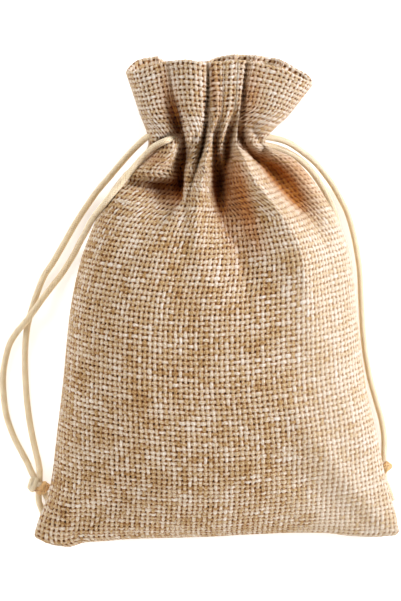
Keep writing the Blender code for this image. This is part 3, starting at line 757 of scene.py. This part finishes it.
def even_columns(row, columns, count, pleats=None):
    """Columns of evenly spaced threads along one row. In the heading the cloth that the row
    has no room for lies in the pleats, at whole columns, in the shares given."""
    run = run_along(row[:, :3])
    if pleats:
        spare = PANEL_WIDTH - run[-1]
        first = round(columns[0])
        for number, share in enumerate(pleats):
            away = np.clip((columns - first - 1 - number) / PLEAT_WIDTH, -1, 1)
            run = run + spare * share / sum(pleats) * (0.5 + 0.5 * np.sin(math.pi / 2 * away))
    return np.interp(np.linspace(0, run[-1], count), run, columns)


def heading_rows(levels, inset, columns, count, pleats):
    """The heading's rows, with warps that run on from the neck and fan out towards the mouth."""
    surface = cloth_surface(levels, columns, inset)
    neck = cloth_surface(np.array([NECK_LEVEL]), columns, np.zeros(1))[0]
    mouth = np.stack(outline(np.array([MOUTH_LEVEL]), columns), axis=2)[0]
    at_neck = even_columns(neck, columns, count)
    at_mouth = even_columns(mouth, columns, count, pleats)
    rows = []
    for level, row in zip(levels, surface):
        f = np.clip((level - NECK_LEVEL) / (PLEATS_OPEN_OVER * HEADING), 0, 1)
        threads = at_neck + (at_mouth - at_neck) * smooth_step(f)
        rows.append(resampled(threads, columns, row))
    return np.stack(rows)


def panel_surface(columns, pleats):
    """One panel on its folds, an even grid of cloth from the bottom fold over the hem and in."""
    count = THREADS_ACROSS * SAMPLES_A_THREAD + 1
    step = WEFT_PITCH / SAMPLES_A_THREAD
    f = np.linspace(0, 1, BODY_LEVELS)
    body_levels = BOTTOM_LEVEL + (NECK_LEVEL - BOTTOM_LEVEL) * (0.5 * f + 0.5 * smooth_step(f))
    body = spread_rows(cloth_surface(body_levels, columns, 0 * body_levels), count)
    body = spread_down(body, body_levels, columns, round(BODY_LENGTH / step) + 1)
    heading_levels = NECK_LEVEL + np.linspace(0, HEADING, round(HEADING / step) + 1)[1:]
    heading = heading_rows(heading_levels, 0 * heading_levels, columns, count, pleats)
    turn = np.linspace(0, math.pi, HEM_STEPS + 1)[1:]
    hem = heading_rows(MOUTH_LEVEL + 0 * turn, HEM_GAP / 2 * (1 - np.cos(turn)), columns, count, pleats)
    hem[:, :, 1] += (HEM_GAP / 2 * np.sin(turn))[:, None]
    inside_levels = MOUTH_LEVEL - np.linspace(0, TURNED_IN, round(TURNED_IN / step) + 1)[1:]
    inside = heading_rows(inside_levels, HEM_GAP + 0 * inside_levels, columns, count, pleats)
    return np.concatenate((body, heading, hem, inside))


CROSSING_HEIGHT = 0.45   # how far a yarn rises and dips, as a share of its half width
GAP_DEPTH = 1.2


def weave_relief(rows, columns):
    """Height of a plain weave at each grid point: a bump on every crossing, a pit at every gap."""
    v = (np.arange(rows) / SAMPLES_A_THREAD)[:, None]
    u = (np.arange(columns) / SAMPLES_A_THREAD)[None, :]
    wave = CROSSING_HEIGHT * (1 - 2 * ((np.floor(u) + np.floor(v)) % 2))
    off_warp = np.abs(2 * (u % 1) - 1)
    off_weft = np.abs(2 * (v % 1) - 1)
    warp = np.sqrt(1 - off_warp ** 2) + wave * np.cos(math.pi / 2 * off_weft)
    weft = np.sqrt(1 - off_weft ** 2) - wave * np.cos(math.pi / 2 * off_warp)
    return np.maximum(warp, weft) - GAP_DEPTH * off_warp ** 6 * off_weft ** 6


WEAVE_DEPTH = 0.34       # how far the crossings stand over the gaps
LIT_FLANK_FROM, LIT_FLANK_BY = 0.60, 0.84    # shares of the panel over which its weave is pressed flatter and painted lighter
FLANK_PRESSED = 0.5      # and the share of its relief that it loses there
FULL_RELIEF_STEP = 0.3   # distance between samples, below which the weave is pressed flat
LOWEST = 0.02            # the cloth's clearance over the floor


def make_panel(name, columns, pleats, material):
    """A panel's mesh, with the threads' relief, a map that fills the square with its cut,
    and how much painted fold shade the cloth has at every point."""
    grid = panel_surface(columns, pleats)
    rows, count = grid.shape[:2]
    painted_fold_shade = grid[:, :, 3].ravel()
    grid = grid[:, :, :3]
    along_cloth = np.gradient(grid, axis=0)
    across_cloth = np.gradient(grid, axis=1)
    normal = np.cross(across_cloth, along_cloth)
    normal /= np.linalg.norm(normal, axis=2)[:, :, None] + 1e-9
    relief = weave_relief(rows, count) - 1.0
    edge = np.minimum(np.arange(count), np.arange(count)[::-1]) / (2 * SAMPLES_A_THREAD)
    relief *= np.clip(edge, 0, 1)[None, :]
    relief *= np.clip(np.linalg.norm(across_cloth, axis=2) / FULL_RELIEF_STEP, 0, 1)
    flank = np.clip((np.arange(count) / (count - 1) - LIT_FLANK_FROM) / (LIT_FLANK_BY - LIT_FLANK_FROM), 0, 1)
    relief *= (1 - FLANK_PRESSED * smooth_step(flank))[None, :]
    relief *= np.clip(np.arange(rows) / SAMPLES_A_THREAD, 0, 1)[:, None]
    grid = grid + normal * (relief * WEAVE_DEPTH)[:, :, None]
    grid[:, :, 2] = np.maximum(grid[:, :, 2], LOWEST)
    corner = np.arange(rows * count).reshape(rows, count)
    faces = (corner[:-1, :-1], corner[:-1, 1:], corner[1:, 1:], corner[1:, :-1])
    faces = np.stack(faces, axis=2).reshape(-1, 4)
    u = np.arange(count) / (count - 1)
    v = np.arange(rows) / (rows - 1)
    fill = np.stack(np.meshgrid(u, v), axis=2).reshape(-1, 2)[faces.ravel()]
    panel = mesh_piece(name, grid.reshape(-1, 3), faces.tolist(), material, OFBake=fill)
    shares = panel.data.attributes.new("painted_fold_shade", "FLOAT", "POINT")
    shares.data.foreach_set("value", painted_fold_shade.astype(np.float32))
    return panel


# Burlap: soft slubby yarn from off-white to tan, matt and a little fuzzy, with painted shade in the
# gaps between the threads and where a yarn dips under another
burlap, burlap_shader = new_material(
    "jute_burlap_plain_weave", {"Roughness": 0.92, "Sheen Weight": 0.12, "Sheen Roughness": 0.5}
)
weave = burlap.node_tree
# The wefts in a panel's grid: its three lengths and the steps round the hem
lengths = (round(part / WEFT_PITCH * SAMPLES_A_THREAD) for part in (BODY_LENGTH, HEADING, TURNED_IN))
THREADS_ALONG = (sum(lengths) + HEM_STEPS) / SAMPLES_A_THREAD
THIN_YARN, THICK_YARN = 0.31, 0.43    # half widths, as shares of the pitch
YARN_SPOTS_APART = 5.173      # so far apart that neighbouring yarns don't look alike
WANDER = 0.55                 # how far the threads stray, in pitches
YARN_TONES = (
    (0.26, "#956B36"), (0.42, "#B89561"), (0.54, "#C8AF8A"), (0.66, "#D8C7B0"), (0.86, "#E7DED1"),
)
# Colours of painted shade: in the gaps, where a yarn dips, and deep in the folds
HOLE_SHADE, DIP_SHADE, FOLD_SHADE_TINT = "#1E0C02", "#C58E50", "#DDA04E"
# How far a yarn's tone shifts: from crossing to crossing, over whole patches of the cloth, from
# fibre to fibre, and as painted light on the right flank and in the heading
CROSSING_TONE, PATCH_TONE, FIBRE_TONE, FLANK_LIGHT_TONE, HEADING_LIGHT_TONE = 0.12, 0.34, 0.95, 0.05, 0.08
# Painted light: shares of the painted shade in the holes and dips and of the mixed tones that the
# right flank loses, and the one tone that those come nearer to
FLANK_LIT_HOLES, FLANK_LIT_DIPS, FLANK_LIT_EVENED, EVEN_TONE = 0.92, 0.4, 0.5, 0.60
IN_HEADING = (0.70, 0.76)     # shares of the panel's length between which the heading begins
cloth_map = add_node(weave, "ShaderNodeUVMap", uv_map="OFBake")
cloth_place = maths("MULTIPLY", cloth_map, (THREADS_ACROSS, THREADS_ALONG, 0.0), kind=VECTORS)
# The threads wander a little from straight lines
wander = noise(cloth_place, 0.5, 1.0).node.outputs["Color"]
wander = maths("SUBTRACT", wander, (0.5, 0.5, 0.5), kind=VECTORS)
cloth_place = maths("MULTIPLY_ADD", wander, (WANDER, WANDER, 0.0), cloth_place, kind=VECTORS)
split = add_node(weave, "ShaderNodeSeparateXYZ", (cloth_place,)).node.outputs
across_threads, along_threads = split[0], split[1]
heights, gaps, tones = [], [], []
for own, other, rises, seed in (
    (across_threads, along_threads, 1.0, 3.7),      # warps
    (along_threads, across_threads, -1.0, 41.3),    # wefts
):
    number = maths("FLOOR", own)
    crossing = maths("FLOOR", other)
    off_middle = maths("ABSOLUTE", maths("SUBTRACT", maths("FRACT", own), 0.5))
    # Slubs: the yarn's thickness and tone drift along it, and differ from yarn to yarn
    spot = maths("MULTIPLY", number, YARN_SPOTS_APART)
    place = add_node(weave, "ShaderNodeCombineXYZ", (spot, other, seed))
    slub = noise(place, 0.35, 1.0)
    tone = noise(place, 0.16, 3.0, 0.55)
    cell = add_node(weave, "ShaderNodeCombineXYZ", (number, crossing, seed))
    fleck = add_node(weave, "ShaderNodeTexWhiteNoise", {"Vector": cell}, noise_dimensions="3D")
    tone = maths("MULTIPLY_ADD", fleck, CROSSING_TONE, tone)
    half_width = ranged(slub, 0.3, 0.7, THIN_YARN, THICK_YARN)
    share = maths("DIVIDE", off_middle, half_width)
    round_top = maths("SUBTRACT", 1.0, maths("POWER", share, 2.0))
    round_top = maths("SQRT", maths("MAXIMUM", round_top, 0.0))
    wave = maths("ABSOLUTE", maths("SINE", maths("MULTIPLY", other, math.pi)))
    parity = maths("FLOORED_MODULO", maths("ADD", number, crossing), 2.0)
    parity = maths("MULTIPLY_ADD", parity, -2.0 * rises, rises)
    wave = maths("MULTIPLY", wave, parity)
    height = maths("MULTIPLY_ADD", wave, 0.5, round_top)
    gap = ranged(share, 0.75, 1.15)
    heights.append(maths("MULTIPLY_ADD", gap, -1.5, height))
    gaps.append(gap)
    tones.append(tone)
# Painted light: towards the right flank the yarn is painted paler and more even and the painted
# shade in its gaps and dips fades; the heading is painted a little paler too
place_across = add_node(weave, "ShaderNodeSeparateXYZ", (cloth_map,))
flank = ranged(place_across, LIT_FLANK_FROM, LIT_FLANK_BY, curve="SMOOTHSTEP")
heading = ranged(place_across.node.outputs[1], *IN_HEADING, curve="SMOOTHSTEP")
flank = maths("MULTIPLY", flank, maths("SUBTRACT", 1.0, heading))
top_height = maths("MAXIMUM", *heights)
warp_over = maths("GREATER_THAN", *heights)
# Painted shade in the gaps between the threads
hole_shade = maths("MULTIPLY", *gaps)
# Painted light: the right flank loses most of the gaps' painted shade
closed = maths("MULTIPLY_ADD", flank, -FLANK_LIT_HOLES, 1.0)
hole_size = ranged(noise(cloth_place, 0.9, 2.0), 0.36, 0.62, 0.15, 1.0)
hole_shade = maths("MULTIPLY", hole_shade, maths("MULTIPLY", closed, hole_size))
top_tone = add_node(weave, "ShaderNodeMix", {0: warp_over, 2: tones[1], 3: tones[0]})
# Whole patches of the cloth are a little more golden or whiter
patch = maths("SUBTRACT", noise(cloth_place, 0.22, 3.0, 0.6), 0.5)
fibres = maths("SUBTRACT", noise(cloth_place, 2.6, 2.0, 0.7), 0.5)
top_tone = maths("MULTIPLY_ADD", patch, PATCH_TONE, top_tone)
top_tone = maths("MULTIPLY_ADD", fibres, FIBRE_TONE, top_tone)
# Painted light: the right flank's tone is evened and made paler, and the heading's too
evened = maths("MULTIPLY", flank, FLANK_LIT_EVENED)
top_tone = add_node(weave, "ShaderNodeMix", {0: evened, 2: top_tone, 3: EVEN_TONE})
top_tone = maths("MULTIPLY_ADD", flank, FLANK_LIGHT_TONE, top_tone)
top_tone = maths("MULTIPLY_ADD", heading, HEADING_LIGHT_TONE, top_tone)
yarn_colour = add_node(weave, "ShaderNodeValToRGB", (top_tone,))
ramp = yarn_colour.node.color_ramp
ramp.elements.remove(ramp.elements[1])
ramp.elements[0].color = linear(YARN_TONES[0][1])
for position, tone_colour in YARN_TONES:
    ramp.elements.new(position).color = linear(tone_colour)
# Painted shade where a yarn dips under another
dip_shade = ranged(top_height, 1.15, 0.25)
# Painted light takes some of the dips' painted shade away on the right flank
dip_shade = maths("MULTIPLY", dip_shade, maths("MULTIPLY_ADD", flank, -FLANK_LIT_DIPS, 1.0))
cloth_colour = blend(dip_shade, yarn_colour, linear(DIP_SHADE), "MULTIPLY")
cloth_colour = blend(hole_shade, cloth_colour, linear(HOLE_SHADE))
# Painted shade: deep in the folds and along the listed stretches the yarn is tinted browner
fold_shade_share = add_node(weave, "ShaderNodeAttribute", attribute_name="painted_fold_shade").node.outputs["Fac"]
cloth_colour = blend(fold_shade_share, cloth_colour, linear(FOLD_SHADE_TINT), "MULTIPLY")
weave.links.new(cloth_colour, burlap_shader.inputs["Base Color"])
bump_height = maths("MULTIPLY_ADD", fibres, 0.35, top_height)
weave_bump = add_node(weave, "ShaderNodeBump", {"Strength": 0.6, "Distance": 0.0003, "Height": bump_height})
weave.links.new(weave_bump, burlap_shader.inputs["Normal"])

gathers_front = len(FRONT_CRESTS)
gathers_all = gathers_front + len(BACK_GATHERS) + 1
JUST_INSIDE = 1e-6       # keeps the last column in its own gather
for panel_name, first, last, pleats in (
    ("front_panel", 0, gathers_front, FRONT_PLEATS),
    ("back_panel", gathers_front, gathers_all, (1.0,) * len(BACK_GATHERS)),
):
    panel = make_panel(panel_name, np.linspace(first, last - JUST_INSIDE, FINE_COLUMNS), pleats, burlap)
    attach(panel, "root")
    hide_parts("sack")


# --- Casing stitching: two rows of running stitches round the neck, in brown cotton
# thread, one above and one below the drawcords. They hold the turned-in heading down.

STITCH_ROWS = (37.6, 47.4)  # level of each row
STITCH_STRAY = 0.5          # how far the sewing strays from that level
STITCH_WAVES = (2.1, 5.3)   # in two waves, which turn so much in each gather
STITCH_STEP = 0.55          # distance between a stitch's sections
STITCH_RUN = 6              # a stitch and the gap after it, in steps
THREAD_DIAMETER = 0.42
THREAD_CORNERS = 6
THREAD_SUNK = 0.12          # how far the thread's middle lies in the cloth

# Cotton sewing thread: matt and smooth, in the cloth's own brown
thread_material, _ = new_material(
    "cotton_sewing_thread", {"Roughness": 0.8, "Base Color": linear("#A98451")}
)


def running_stitches():
    """Nodes that turn a line into running stitches, each a short length of round thread."""
    tree = bpy.data.node_groups.new("running_stitches", "GeometryNodeTree")
    sockets = {}
    for name, kind in (
        ("Line", "Geometry"), ("Step", "Float"), ("Run", "Int"),
        ("Thread Radius", "Float"), ("Corners", "Int"),
    ):
        socket = tree.interface.new_socket(name, in_out="INPUT", socket_type="NodeSocket" + kind)
        sockets[name] = socket.identifier
    tree.interface.new_socket("Stitches", in_out="OUTPUT", socket_type="NodeSocketGeometry")
    given = add_node(tree, "NodeGroupInput").node.outputs
    line = add_node(
        tree, "GeometryNodeResampleCurve", {"Curve": given["Line"], "Length": given["Step"]}, mode="LENGTH"
    )
    line = add_node(tree, "GeometryNodeCurveToMesh", {"Curve": line})
    number = maths("MODULO", add_node(tree, "GeometryNodeInputIndex"), given["Run"])
    in_gap = maths("LESS_THAN", number, 0.5)
    line = add_node(tree, "GeometryNodeDeleteGeometry", {"Geometry": line, "Selection": in_gap})
    line = add_node(tree, "GeometryNodeMeshToCurve", {"Mesh": line})
    section = add_node(
        tree, "GeometryNodeCurvePrimitiveCircle",
        {"Resolution": given["Corners"], "Radius": given["Thread Radius"]},
    )
    thread = add_node(
        tree, "GeometryNodeCurveToMesh", {"Curve": line, "Profile Curve": section, "Fill Caps": True}
    )
    thread = add_node(tree, "GeometryNodeRealizeInstances", {"Geometry": thread})
    thread = add_node(tree, "GeometryNodeSetMaterial", {"Geometry": thread, "Material": thread_material})
    given_back = tree.nodes.new("NodeGroupOutput")
    tree.links.new(thread, given_back.inputs["Stitches"])
    return tree, sockets


def stitched_row(name, level, tree, sockets):
    """One row of stitches laid round the sack on its folds, as a plain mesh."""
    columns = np.linspace(0, gathers_all - JUST_INSIDE, 3 * FINE_COLUMNS)
    levels = level + STITCH_STRAY * np.array((-1.0, 1.0))
    low, high = cloth_surface(levels, columns, np.full(2, THREAD_SUNK))[:, :, :3]
    slow, quick = STITCH_WAVES
    share = 0.5 + 0.25 * (np.sin(slow * columns) + np.sin(quick * columns))[:, None]
    row = to_frame(low * (1 - share) + high * share)
    curve = bpy.data.curves.new(name, "CURVE")
    curve.dimensions = "3D"
    spline = curve.splines.new("POLY")
    spline.points.add(len(row) - 1)
    spline.points.foreach_set("co", np.column_stack((row, np.ones(len(row)))).ravel())
    line = new_object(name + "_line", curve)
    modifier = line.modifiers.new("stitches", "NODES")
    modifier.node_group = tree
    modifier[sockets["Step"]] = STITCH_STEP * MM
    modifier[sockets["Run"]] = STITCH_RUN
    modifier[sockets["Thread Radius"]] = THREAD_DIAMETER / 2 * MM
    modifier[sockets["Corners"]] = THREAD_CORNERS
    evaluated = line.evaluated_get(bpy.context.evaluated_depsgraph_get())
    mesh = bpy.data.meshes.new_from_object(evaluated)
    line.modifiers.remove(modifier)
    bpy.data.objects.remove(line)
    return new_object(name, mesh)


stitch_tree, stitch_sockets = running_stitches()
for row_name, stitch_level in zip(("lower_stitch_row", "upper_stitch_row"), STITCH_ROWS):
    stitch_row = stitched_row(row_name, stitch_level, stitch_tree, stitch_sockets)
    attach(stitch_row, "root")
